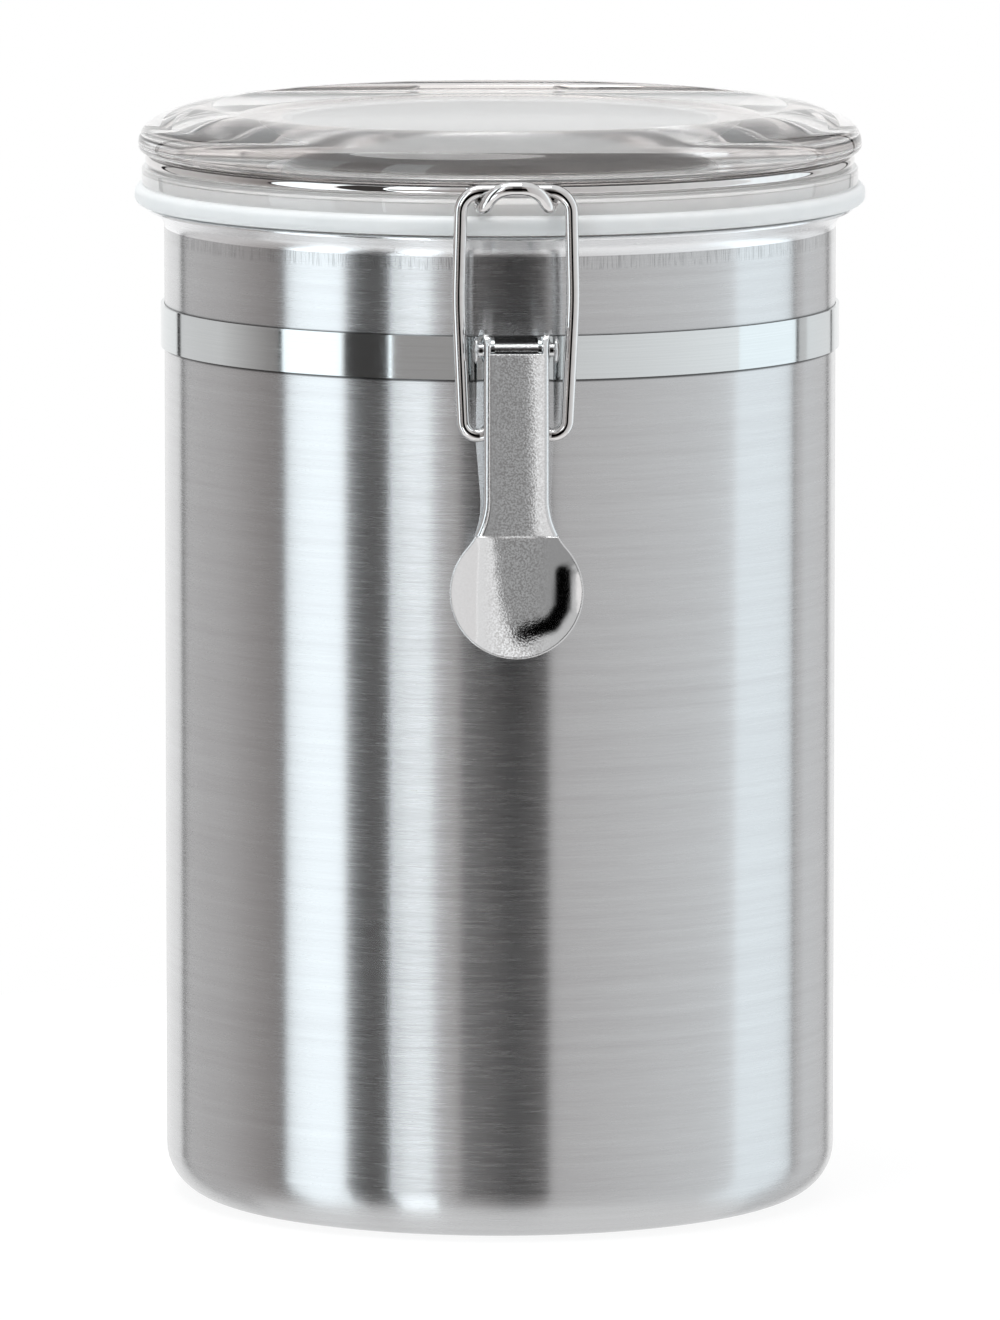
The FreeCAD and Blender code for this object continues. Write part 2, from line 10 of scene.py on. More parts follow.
import bmesh
import bpy
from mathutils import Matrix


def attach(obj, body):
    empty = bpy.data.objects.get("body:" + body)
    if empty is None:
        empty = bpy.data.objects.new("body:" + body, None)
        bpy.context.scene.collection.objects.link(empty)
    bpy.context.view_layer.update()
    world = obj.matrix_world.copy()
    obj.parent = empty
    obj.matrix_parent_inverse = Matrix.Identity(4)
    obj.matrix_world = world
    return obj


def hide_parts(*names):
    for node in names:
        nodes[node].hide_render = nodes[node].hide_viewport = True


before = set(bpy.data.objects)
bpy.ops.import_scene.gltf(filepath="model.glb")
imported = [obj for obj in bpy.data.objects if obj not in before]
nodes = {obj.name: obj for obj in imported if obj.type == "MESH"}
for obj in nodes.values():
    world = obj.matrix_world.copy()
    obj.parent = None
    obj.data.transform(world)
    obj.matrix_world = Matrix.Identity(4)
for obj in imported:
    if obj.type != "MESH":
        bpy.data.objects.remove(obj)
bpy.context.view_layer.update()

scene = bpy.context.scene
scene.view_settings.view_transform = "Standard"
print("nodes:", ", ".join(sorted(nodes)))

# %% [markdown]
# Two helpers serve every finish. Colours are written as sRGB hex, as a paint chart gives them, and a shader wants them
# linear. One function adds a node, sets it and links it, so that a material reads from top to bottom.

# %% Helpers for colours and nodes
MM = 0.001


def linear(hex_colour):
    """An sRGB hex colour as the linear colour that a shader socket takes."""
    channels = [int(hex_colour[k:k + 2], 16) / 255 for k in (1, 3, 5)]
    return [c / 12.92 if c <= 0.04045 else ((c + 0.055) / 1.055) ** 2.4 for c in channels] + [1]


def add(tree, kind, inputs=None, **settings):
    """One new node. Settings are its properties; inputs are socket values, or the sockets that feed them."""
    node = tree.nodes.new(kind)
    for name, value in settings.items():
        setattr(node, name, value)
    for name, value in (inputs or {}).items():
        if isinstance(value, bpy.types.NodeSocket):
            tree.links.new(value, node.inputs[name])
        else:
            node.inputs[name].default_value = value
    return node


def empty_material(name):
    """A material with nothing in it yet, and its node tree."""
    material = bpy.data.materials.new(name)
    material.use_nodes = True
    material.node_tree.nodes.clear()
    return material, material.node_tree


# %% [markdown]
# The camera stands well back with a long lens, as product photographers do to keep a can's sides almost parallel. It is
# a little above the lid and a little to the left of the latch. Its place was worked out from the width of the can at
# the top and the bottom, and from the height of the ellipses.

# %% Camera
camera_distance = 2.353
camera_height = 0.398
camera_turn = math.radians(2.35)
camera_pitch = math.radians(7.38)
focal_length_pixels = 13583
image_width_pixels = 1000

camera_data = bpy.data.cameras.new("camera")
camera_data.sensor_fit = "HORIZONTAL"
camera_data.lens = focal_length_pixels / image_width_pixels * camera_data.sensor_width
camera_data.clip_end = 20
camera = bpy.data.objects.new("camera", camera_data)
scene.collection.objects.link(camera)
camera.location = (
    -camera_distance * math.sin(camera_turn),
    -camera_distance * math.cos(camera_turn),
    camera_height,
)
camera.rotation_euler = (math.pi / 2 - camera_pitch, 0, -camera_turn)
scene.camera = camera
print(f"camera: {camera_data.lens:.0f} mm lens, {camera_distance} m away")

# %% [markdown]
# Polished and brushed steel have hardly any colour of their own: what they show is the room. So the set is built like
# a real one. It starts with the world, a plain white sweep. The camera, mirrors and clear plastic see it at full
# strength, and as a lamp it is weaker, so that pale parts keep their shading.

# %% World
sweep_level = 1.0
fill_level = 0.8

world = bpy.data.worlds.new("white_sweep")
scene.world = world
world.use_nodes = True
tree = world.node_tree
tree.nodes.clear()
path = add(tree, "ShaderNodeLightPath").outputs
seen = add(tree, "ShaderNodeMath", {0: path["Is Camera Ray"], 1: path["Is Glossy Ray"]}, operation="MAXIMUM")
seen = add(tree, "ShaderNodeMath", {0: seen.outputs[0], 1: path["Is Transmission Ray"]}, operation="MAXIMUM")
fill = add(tree, "ShaderNodeBackground", {"Color": linear("#FFFFFF"), "Strength": fill_level})
sweep = add(tree, "ShaderNodeBackground", {"Color": linear("#FFFFFF"), "Strength": sweep_level})
mixed = add(tree, "ShaderNodeMixShader", {0: seen.outputs[0], 1: fill.outputs[0], 2: sweep.outputs[0]})
add(tree, "ShaderNodeOutputWorld", {"Surface": mixed.outputs[0]})
print(f"world: {sweep_level} when seen, {fill_level} as a lamp")

# %% [markdown]
# Upright cards round the can are the soft boxes, grey walls and black flags that make its bright and dark stripes. Each
# card spans some degrees of the circle, counted from the camera and positive to the right, with a light level at each
# of its two edges. Lamps are cooler than painted walls, so a bright card is a little blue and a dim one a little warm.

# %% Upright cards
card_distance = 1.4
card_low = -1.2
card_high = 1.3
card_step = 3
warm_level, cool_level = 0.3, 1.3
front_start, front_middle, front_end = -13, 5, 16.5
cards = [
    ("left_wall", -137, -108, 0.73, 0.61),
    ("left_fall_off", -108, -77.5, 0.61, 0.27),
    ("left_soft_box", -77.5, -54, 1.75, 1.75),
    ("left_flag", -53, -37, 0.06, 0.06),
    ("strip_box", -37, -23, 2.8, 2.8),
    ("strip_fall_off", -23, front_start, 1.0, 0.5),
    ("front_flag", front_start, front_middle, 0.62, 0.08),
    ("front_rise", front_middle, front_end, 0.08, 0.4),
    ("right_wall", front_end, 86, 0.67, 0.98),
    ("right_strip", 87, 118, 1.35, 1.35),
    ("right_gap", 118, 126, 0.7, 0.75),
    ("right_edge_wall", 126, 157, 0.92, 0.75),
]

card_finish, tree = empty_material("studio_card")
level = add(tree, "ShaderNodeAttribute", attribute_name="level")
brightness = add(tree, "ShaderNodeMapRange", {
    "Value": level.outputs["Fac"],
    "From Min": warm_level,
    "From Max": cool_level,
})
tint = add(tree, "ShaderNodeMix", {"Factor": brightness.outputs[0]}, data_type="RGBA")
tint.inputs[6].default_value = linear("#FFF7F4")
tint.inputs[7].default_value = linear("#F3FBFF")
glow = add(tree, "ShaderNodeEmission", {"Color": tint.outputs[2], "Strength": level.outputs["Fac"]})
add(tree, "ShaderNodeOutputMaterial", {"Surface": glow.outputs[0]})


def studio_card(name, start, end, start_level, end_level, low=card_low, high=card_high, distance=card_distance):
    """An upright strip of a drum round the can, unseen by the camera itself."""
    steps = max(2, round((end - start) / card_step))
    turns = [math.radians(start + (end - start) * k / steps - 90) - camera_turn for k in range(steps + 1)]
    rim = [(distance * math.cos(t), distance * math.sin(t)) for t in turns]
    points = [(x, y, low) for x, y in rim] + [(x, y, high) for x, y in rim]
    faces = [(k, k + 1, k + steps + 2, k + steps + 1) for k in range(steps)]
    mesh = bpy.data.meshes.new(name)
    mesh.from_pydata(points, [], faces)
    levels = mesh.attributes.new("level", "FLOAT", "POINT")
    for k in range(2 * steps + 2):
        share = k % (steps + 1) / steps
        levels.data[k].value = start_level + (end_level - start_level) * share
    mesh.materials.append(card_finish)
    card = bpy.data.objects.new(name, mesh)
    scene.collection.objects.link(card)
    card.visible_camera = False
    card.visible_shadow = False
    return card


for name, start, end, start_level, end_level in cards:
    studio_card(name, start, end, start_level, end_level)
print(f"{len(cards)} cards stand {card_distance} m from the can")

# %% [markdown]
# Some smaller cards stand nearer. Two low strips in front darken what the foot of the can sees, and thin black cards
# draw the fine dark lines in the strap, each with a place and a width in degrees. A grey ceiling closes the set above
# the lid. It is a level disc, and so is the table further on, so one function makes both.

# %% Low strips, thin lines and ceiling
strip_distance = 1.3
strip_low, black_strip_high, dim_strip_high = -0.45, 0.4, 0.17
dim_strip_start, dim_strip_level = -36, 0.42
black_lines = [(-138.5, 3.5), (-78.2, 1.2), (119, 1.5), (151, 2.5)]
line_distance, line_level = 1.25, 0.02
ceiling_radius, ceiling_height, ceiling_steps, ceiling_level = 4, 1.8, 48, 0.95


def flat_disc(name, radius, height, steps, finish):
    """A level disc round the can's axis."""
    turns = [2 * math.pi * k / steps for k in range(steps)]
    mesh = bpy.data.meshes.new(name)
    mesh.from_pydata([(radius * math.cos(t), radius * math.sin(t), height) for t in turns], [], [list(range(steps))])
    mesh.materials.append(finish)
    disc = bpy.data.objects.new(name, mesh)
    scene.collection.objects.link(disc)
    return disc


studio_card(
    "black_front_strip", front_start, front_end, 0.0, 0.0, low=strip_low, high=black_strip_high, distance=strip_distance
)
studio_card(
    "dim_low_strip",
    dim_strip_start,
    front_start,
    dim_strip_level,
    dim_strip_level,
    low=strip_low,
    high=dim_strip_high,
    distance=strip_distance,
)
for place, width in black_lines:
    start, end = place - width / 2, place + width / 2
    studio_card(f"black_line_{place:.0f}", start, end, line_level, line_level, distance=line_distance)

ceiling = flat_disc("grey_ceiling", ceiling_radius, ceiling_height, ceiling_steps, card_finish)
ceiling_levels = ceiling.data.attributes.new("level", "FLOAT", "POINT")
ceiling_levels.data.foreach_set("value", [ceiling_level] * ceiling_steps)
ceiling.visible_camera = False
ceiling.visible_shadow = False
ceiling.visible_diffuse = False
print(f"2 low strips, {len(black_lines)} black lines, ceiling {ceiling_height} m up")

# %% [markdown]
# The lever faces the camera squarely, so it would mirror the dark front and nothing else. A photographer lifts such a
# small part with a reflector of its own. Here it is a patch of a sphere round the thumb tab that adds light for the
# lever only, which light linking makes possible. Directions are in degrees: a turn from the camera and a tilt from
# level. The patch is bright to the right of an edge, pale in a ring that the rim of the tab mirrors, and grey inside
# it. It stays dark along a bent line, where the camera's stand is in the way; the hollow of the tab shows that line as
# a black stroke. Where the tab already sees the right wall, the wall's own light is taken off.

# %% Reflector for the lever
thumb_place = (0, -0.068, 0.114)
reflector_distance = 1.2
wall_edge, wall_step = 17.37, 0.02
reflector_turns = sorted([*range(-24, 41), wall_edge - wall_step, wall_edge + wall_step])
reflector_tilts = range(-36, 27)
grey_level = 0.41
bright_level = 1.03
wall_level = 0.68
rim_level = 0.75
rim_centre, rim_turn, rim_low = (4.7, -7.4), 15.2, -16
bright_edge = [(-36, 14), (-7, 10.5), (3, 8), (11, 1), (27, -6)]
stand_line = [(-10.2, -13.2), (-9.6, -2.2), (-6.4, 3.0), (3.4, 6.6)]
stand_half_width, stand_softness = 2.7, 0.5


def distance_to_line(point, line):
    """How far a point of the plane is from a bent line."""
    nearest = math.inf
    for (ax, ay), (bx, by) in zip(line, line[1:]):
        run = ((point[0] - ax) * (bx - ax) + (point[1] - ay) * (by - ay)) / ((bx - ax) ** 2 + (by - ay) ** 2)
        run = min(1, max(0, run))
        nearest = min(nearest, math.hypot(point[0] - ax - run * (bx - ax), point[1] - ay - run * (by - ay)))
    return nearest


def reflector_level(turn, tilt):
    """The light that the reflector adds in one direction, in degrees from the camera and from level."""
    spans = zip(bright_edge, bright_edge[1:])
    low, high = next((a, b) for a, b in spans if tilt <= b[0])
    edge = low[1] + (high[1] - low[1]) * (tilt - low[0]) / (high[0] - low[0])
    on_rim = tilt > rim_low and math.dist((turn, tilt), rim_centre) > rim_turn
    inner_level = rim_level if on_rim else grey_level
    wanted = bright_level if turn > edge else inner_level
    from_stand = distance_to_line((turn, tilt), stand_line) - stand_half_width
    clear_of_stand = min(1, max(0, from_stand + stand_softness))
    return wanted * clear_of_stand - (wall_level if turn > wall_edge else 0)


reflector_points = []
reflector_levels = []
for tilt in reflector_tilts:
    for turn in reflector_turns:
        heading = math.radians(turn - 90) - camera_turn
        level_run = reflector_distance * math.cos(math.radians(tilt))
        reflector_points.append((
            thumb_place[0] + level_run * math.cos(heading),
            thumb_place[1] + level_run * math.sin(heading),
            thumb_place[2] + reflector_distance * math.sin(math.radians(tilt)),
        ))
        reflector_levels.append(reflector_level(turn, tilt))
row = len(reflector_turns)
starts = [r * row + c for r in range(len(reflector_tilts) - 1) for c in range(row - 1)]
reflector_mesh = bpy.data.meshes.new("lever_reflector")
reflector_mesh.from_pydata(reflector_points, [], [(k, k + 1, k + row + 1, k + row) for k in starts])
reflector_mesh.attributes.new("level", "FLOAT", "POINT").data.foreach_set("value", reflector_levels)

reflector_finish, tree = empty_material("sheer_reflector")
level = add(tree, "ShaderNodeAttribute", attribute_name="level")
glow = add(tree, "ShaderNodeEmission", {"Color": linear("#FFFFFF"), "Strength": level.outputs["Fac"]})
sheer = add(tree, "ShaderNodeBsdfTransparent")
added = add(tree, "ShaderNodeAddShader", {0: glow.outputs[0], 1: sheer.outputs[0]})
add(tree, "ShaderNodeOutputMaterial", {"Surface": added.outputs[0]})
reflector_mesh.materials.append(reflector_finish)
reflector = bpy.data.objects.new("lever_reflector", reflector_mesh)
scene.collection.objects.link(reflector)
reflector.visible_camera = False
reflector.visible_shadow = False
reflector.visible_transmission = False
lever_only = bpy.data.collections.new("lit_by_reflector")
lever_only.objects.link(nodes["latch_lever"])
reflector.light_linking.receiver_collection = lever_only
print(f"reflector: {len(starts)} faces round the thumb tab")

# %% [markdown]
# The strap mirrors the walls at one height, where the brushed can mixes many heights. In the photograph the walls are
# lighter at that height, so a low row of sheer cards adds some light for the strap and for the bracket on it.

# %% Low cards for the strap
strap_cards = [
    ("low_left_wall", -136.5, -108, 0.11, 0.18),
    ("low_left_fall_off", -108, -79, 0.18, 0.0),
    ("low_right_wall", front_end, 86, 0.14, 0.14),
    ("low_right_edge", 126, 157, 0.08, 0.15),
]
strap_card_low, strap_card_high, strap_card_distance = -0.1, 0.15, 1.2

strap_only = bpy.data.collections.new("lit_by_low_cards")
for name in ("clamp_band", "hinge_bracket"):
    strap_only.objects.link(nodes[name])
for name, start, end, start_level, end_level in strap_cards:
    card = studio_card(
        name,
        start,
        end,
        start_level,
        end_level,
        low=strap_card_low,
        high=strap_card_high,
        distance=strap_card_distance,
    )
    card.data.materials[0] = reflector_finish
    card.light_linking.receiver_collection = strap_only
print(f"{len(strap_cards)} low cards for the strap")

# %% [markdown]
# The can stands on a small round table of pale card. To the camera the table is white like the sweep, the steel does
# not mirror it, and it still takes the can's soft shadow from a large lamp overhead.

# %% Table and overhead lamp
table_radius = 0.24
table_steps = 96
table_white_share, table_white_level = 0.8, 1.08
lamp_size = 0.9
lamp_power = 9
lamp_place = (-0.25, -0.2, 1.5)
lamp_tilt = (math.radians(-8), math.radians(-9), 0)

table_finish, tree = empty_material("pale_card_table")
path = add(tree, "ShaderNodeLightPath").outputs
seen = add(tree, "ShaderNodeMath", {0: path["Is Camera Ray"], 1: path["Is Transmission Ray"]}, operation="MAXIMUM")
matt = add(tree, "ShaderNodeBsdfDiffuse", {"Color": linear("#F0F0F0")})
white = add(tree, "ShaderNodeEmission", {"Color": linear("#FFFFFF"), "Strength": table_white_level})
white_share = add(tree, "ShaderNodeMath", {0: seen.outputs[0], 1: table_white_share}, operation="MULTIPLY")
mixed = add(tree, "ShaderNodeMixShader", {0: white_share.outputs[0], 1: matt.outputs[0], 2: white.outputs[0]})
add(tree, "ShaderNodeOutputMaterial", {"Surface": mixed.outputs[0]})

table = flat_disc("table", table_radius, 0, table_steps, table_finish)
table.visible_glossy = False

lamp_data = bpy.data.lights.new("overhead_lamp", "AREA")
lamp_data.shape = "DISK"
lamp_data.size = lamp_size
lamp_data.energy = lamp_power
lamp = bpy.data.objects.new("overhead_lamp", lamp_data)
scene.collection.objects.link(lamp)
lamp.location = lamp_place
lamp.rotation_euler = lamp_tilt
lamp.visible_camera = False
print(f"table {2 * table_radius} m across, lamp {lamp_size} m across")

# %% [markdown]
# The can is stainless steel, drawn and then brushed round its side. Each brush line runs level round the can, so it
# scatters light up and down much more than sideways, and the room shows as tall soft stripes. That is anisotropy: the
# tangent runs round the axis, and a quarter turn stretches the highlight upright. The lines themselves are noise
# squeezed to a fifth of a millimetre in height and drawn out sideways, and broader streaks change the tone slowly.

# %% Brushed stainless steel: the lines
# Real brush lines are finer than 0.05 mm. These are as coarse as they need to be to show.
brush_line_height = 0.18 * MM
brush_line_length = 6 * MM
brush_streak_height = 1.1 * MM
brush_streak_length = 90 * MM
brush_depth, brush_bump = 0.004 * MM, 0.08
brush_smooth, brush_rough = 0.23, 0.28

brushed_steel, tree = empty_material("brushed_stainless_steel")
place = add(tree, "ShaderNodeTexCoord").outputs["Object"]
line_size = (1 / brush_line_length, 1 / brush_line_length, 1 / brush_line_height)
streak_size = (1 / brush_streak_length, 1 / brush_streak_length, 1 / brush_streak_height)
line_place = add(tree, "ShaderNodeVectorMath", {0: place, 1: line_size}, operation="MULTIPLY")
streak_place = add(tree, "ShaderNodeVectorMath", {0: place, 1: streak_size}, operation="MULTIPLY")
lines = add(tree, "ShaderNodeTexNoise", {"Vector": line_place.outputs[0], "Scale": 1.0, "Detail": 2.0})
streaks = add(tree, "ShaderNodeTexNoise", {"Vector": streak_place.outputs[0], "Scale": 1.0, "Detail": 2.0})
both = add(tree, "ShaderNodeMath", {0: lines.outputs["Fac"], 1: streaks.outputs["Fac"]}, operation="ADD")
tone = add(tree, "ShaderNodeMapRange", {"Value": both.outputs[0], "From Min": 0.6, "From Max": 1.4})
colour = add(tree, "ShaderNodeMix", {"Factor": tone.outputs[0]}, data_type="RGBA")
colour.inputs[6].default_value = linear("#C4C4C5")
colour.inputs[7].default_value = linear("#CFD0D1")
rough = add(tree, "ShaderNodeMapRange", {
    "Value": lines.outputs["Fac"],
    "From Min": 0.3,
    "From Max": 0.7,
    "To Min": brush_smooth,
    "To Max": brush_rough,
})
bump = add(tree, "ShaderNodeBump", {
    "Height": lines.outputs["Fac"],
    "Strength": brush_bump,
    "Distance": brush_depth,
})
tangent = add(tree, "ShaderNodeTangent", direction_type="RADIAL", axis="Z")
print("brushed lines:", brush_line_height / MM, "mm high")

# %% [markdown]
# Inside, the drawn steel was never brushed, so it is smoother. Its colour is also painted paler, as painted light for
# the dim inside of the can. A point counts as inside when it is nearer to the axis than the middle of the wall, and
# above the rounded corner at the bottom. On the outside, painted shade darkens the steel under the strap and in a thin
# band along each of its edges, small upright dark marks stand under the flare, and a painted sheen makes the flare half
# again as bright. Each is a share of the colour, found from the height.

# %% Brushed stainless steel: inside, painted light and shade, marks and shader
can_mid_wall = 58.05 * MM
can_corner = 9 * MM
inside_metal, inside_rough = 0.9, 0.5
strap_low, strap_high = 148.8 * MM, 156.2 * MM
# Painted shade along the strap: the can is darkened under it and in a thin band at each of its edges.
strap_shade_width = 0.3 * MM
shade_below_strap, shade_above_strap = 0.12, 0.2
tick_width, tick_height = 0.2 * MM, 5 * MM
tick_low, tick_high = 167.2 * MM, 169.7 * MM
tick_shade = 0.75
# Painted sheen on the flare: its colour is made half again as bright.
flare_painted_sheen = 1.5

flat_place = add(tree, "ShaderNodeVectorMath", {0: place, 1: (1, 1, 0)}, operation="MULTIPLY")
from_axis = add(tree, "ShaderNodeVectorMath", {0: flat_place.outputs[0]}, operation="LENGTH")
beyond_wall = add(tree, "ShaderNodeMath", {0: from_axis.outputs["Value"], 1: can_mid_wall}, operation="GREATER_THAN")
height = add(tree, "ShaderNodeSeparateXYZ", {0: place}).outputs["Z"]
below_corner = add(tree, "ShaderNodeMath", {0: height, 1: can_corner}, operation="LESS_THAN")
outside = add(tree, "ShaderNodeMath", {0: beyond_wall.outputs[0], 1: below_corner.outputs[0]}, operation="MAXIMUM")
metal_share = add(tree, "ShaderNodeMapRange", {"Value": outside.outputs[0], "To Min": inside_metal, "To Max": 1.0})
rough_share = add(tree, "ShaderNodeMapRange", {"Value": outside.outputs[0], "To Min": inside_rough, "To Max": 1.0})
sided_rough = add(tree, "ShaderNodeMath", {0: rough.outputs[0], 1: rough_share.outputs[0]}, operation="MULTIPLY")
sided = add(tree, "ShaderNodeMix", {"Factor": outside.outputs[0]}, data_type="RGBA")
# Painted light: the inside is coloured paler than the outside.
sided.inputs[6].default_value = linear("#E6E2E0")
# Painted shade below the strap's lower edge and above its upper edge.
below_strap = add(tree, "ShaderNodeMapRange", {
    "Value": height,
    "From Min": strap_low - 2 * strap_shade_width,
    "From Max": strap_low - strap_shade_width,
    "To Min": 1.0,
    "To Max": shade_below_strap,
})
above_strap = add(tree, "ShaderNodeMapRange", {
    "Value": height,
    "From Min": strap_high,
    "From Max": strap_high + strap_shade_width,
    "To Min": shade_above_strap,
    "To Max": 1.0,
})
painted_strap_shade = add(tree, "ShaderNodeMath", {0: below_strap.outputs[0], 1: above_strap.outputs[0]}, operation="MAXIMUM")
tick_size = (1 / tick_width, 1 / tick_width, 1 / tick_height)
tick_place = add(tree, "ShaderNodeVectorMath", {0: place, 1: tick_size}, operation="MULTIPLY")
ticks = add(tree, "ShaderNodeTexNoise", {"Vector": tick_place.outputs[0], "Scale": 1.0, "Detail": 1.0})
tick_tone = add(tree, "ShaderNodeMapRange", {
    "Value": ticks.outputs["Fac"],
    "From Min": 0.5,
    "From Max": 0.65,
    "To Min": 1.0,
    "To Max": tick_shade,
})
over_ticks = add(tree, "ShaderNodeMapRange", {
    "Value": height,
    "From Min": tick_low,
    "From Max": tick_high,
    "To Min": 1.0,
    "To Max": 0.0,
})
on_flare = add(tree, "ShaderNodeMath", {0: height, 1: tick_high}, operation="GREATER_THAN")
off_ticks = add(tree, "ShaderNodeMath", {0: over_ticks.outputs[0], 1: on_flare.outputs[0]}, operation="MAXIMUM")
tick_share = add(tree, "ShaderNodeMath", {0: tick_tone.outputs[0], 1: off_ticks.outputs[0]}, operation="MAXIMUM")
# The upright marks times the painted shade along the strap.
marks = add(tree, "ShaderNodeMath", {0: painted_strap_shade.outputs[0], 1: tick_share.outputs[0]}, operation="MULTIPLY")
# Painted sheen: the flare's colour is made brighter.
painted_flare_sheen = add(tree, "ShaderNodeMapRange", {"Value": on_flare.outputs[0], "To Min": 1.0, "To Max": flare_painted_sheen})
marks = add(tree, "ShaderNodeMath", {0: marks.outputs[0], 1: painted_flare_sheen.outputs[0]}, operation="MULTIPLY")
marked = add(tree, "ShaderNodeVectorMath", {0: colour.outputs[2], 1: marks.outputs[0]}, operation="MULTIPLY")
tree.links.new(marked.outputs[0], sided.inputs[7])
steel = add(tree, "ShaderNodeBsdfPrincipled", {
    "Base Color": sided.outputs[2],
    "Metallic": metal_share.outputs[0],
    "Roughness": sided_rough.outputs[0],
    "Anisotropic": 1.0,
    "Anisotropic Rotation": 0.25,
    "Tangent": tangent.outputs[0],
    "Normal": bump.outputs[0],
})
add(tree, "ShaderNodeOutputMaterial", {"Surface": steel.outputs[0]})
nodes["canister_body"].material_slots[0].material = brushed_steel
print("brushed steel:", len(tree.nodes), "nodes")

# %% [markdown]
# The strap and the hinge bracket are bright rolled strip, polished until they mirror the room. Rolled strip is never
# quite flat, so a slow swell of a few hundredths of a millimetre bends the reflections a little.

# %% Polished steel strip
strip_swell_length = 16 * MM
strip_swell_depth = 0.015 * MM
strip_line_height = 0.2 * MM
strip_line_length = 25 * MM

polished_strip, tree = empty_material("polished_steel_strip")
place = add(tree, "ShaderNodeTexCoord").outputs["Object"]
swell = add(tree, "ShaderNodeTexNoise", {"Vector": place, "Scale": 1 / strip_swell_length, "Detail": 1.0})
fine_size = (1 / strip_line_length, 1 / strip_line_length, 1 / strip_line_height)
fine_place = add(tree, "ShaderNodeVectorMath", {0: place, 1: fine_size}, operation="MULTIPLY")
fine = add(tree, "ShaderNodeTexNoise", {"Vector": fine_place.outputs[0], "Scale": 1.0, "Detail": 1.0})
bump = add(tree, "ShaderNodeBump", {"Height": swell.outputs["Fac"], "Strength": 1.0, "Distance": strip_swell_depth})
rough = add(tree, "ShaderNodeMapRange", {"Value": fine.outputs["Fac"], "To Min": 0.05, "To Max": 0.13})
colour = add(tree, "ShaderNodeMix", {"Factor": fine.outputs["Fac"]}, data_type="RGBA")
colour.inputs[6].default_value = linear("#CDD1D2")
colour.inputs[7].default_value = linear("#D9DDDE")
steel = add(tree, "ShaderNodeBsdfPrincipled", {
    "Base Color": colour.outputs[2],
    "Metallic": 1.0,
    "Roughness": rough.outputs[0],
    "Normal": bump.outputs[0],
})
add(tree, "ShaderNodeOutputMaterial", {"Surface": steel.outputs[0]})
for name in ("clamp_band", "hinge_bracket"):
    nodes[name].material_slots[0].material = polished_strip
print("strip swell:", strip_swell_length / MM, "mm long")

# %% [markdown]
# The lever is pressed from sheet and chrome plated. Its edges are polished, and down the middle the grain of the sheet
# still shows through the plating as a fine sparkle. A pressing has no knife edges, so the bevel node rounds them.

# %% Chromed pressed steel
# The grain of real sheet is finer than this. It is as coarse as it needs to be to show.
press_grain = 0.32 * MM
press_depth = 0.011 * MM
full_grain, last_grain, edge_grain = 0.5 * MM, 6.5 * MM, 0.05
edge_round = 0.5 * MM

chromed_sheet, tree = empty_material("chromed_pressed_steel")
place = add(tree, "ShaderNodeTexCoord").outputs["Object"]
grain = add(tree, "ShaderNodeTexNoise", {"Vector": place, "Scale": 1 / press_grain, "Detail": 2.0})
across = add(tree, "ShaderNodeSeparateXYZ", {0: place})
from_middle = add(tree, "ShaderNodeMath", {0: across.outputs["X"]}, operation="ABSOLUTE")
unpolished = add(tree, "ShaderNodeMapRange", {
    "Value": from_middle.outputs[0],
    "From Min": full_grain,
    "From Max": last_grain,
    "To Min": 1.0,
    "To Max": edge_grain,
}, interpolation_type="SMOOTHSTEP")
peaks = add(tree, "ShaderNodeMath", {0: grain.outputs["Fac"], 1: 0.5}, operation="SUBTRACT")
left_grain = add(tree, "ShaderNodeMath", {0: peaks.outputs[0], 1: unpolished.outputs[0]}, operation="MULTIPLY")
rounded = add(tree, "ShaderNodeBevel", {"Radius": edge_round}, samples=8)
bump = add(tree, "ShaderNodeBump", {
    "Height": left_grain.outputs[0],
    "Strength": 1.0,
    "Distance": press_depth,
    "Normal": rounded.outputs[0],
})
rough = add(tree, "ShaderNodeMapRange", {"Value": grain.outputs["Fac"], "To Min": 0.03, "To Max": 0.06})
speckle = add(tree, "ShaderNodeMapRange", {"Value": left_grain.outputs[0], "From Min": -0.1, "From Max": 0.1})
colour = add(tree, "ShaderNodeMix", {"Factor": speckle.outputs[0]}, data_type="RGBA")
colour.inputs[6].default_value = linear("#BBBABA")
colour.inputs[7].default_value = linear("#E8E9EA")
chrome = add(tree, "ShaderNodeBsdfPrincipled", {
    "Base Color": colour.outputs[2],
    "Metallic": 1.0,
    "Roughness": rough.outputs[0],
    "Normal": bump.outputs[0],
})
add(tree, "ShaderNodeOutputMaterial", {"Surface": chrome.outputs[0]})
for name in ("latch_lever", "lever_rivet"):
    nodes[name].material_slots[0].material = chromed_sheet
print("press grain:", press_grain / MM, "mm wide")

# %% [markdown]
# The bail and the lid's ring are drawn wire with the same plating. Drawing leaves the wire smooth, so it is brighter
# than the lever and only a faint unevenness breaks its long highlights.

# %% Chromed drawn wire
wire_unevenness = 1.5 * MM
wire_depth = 0.004 * MM

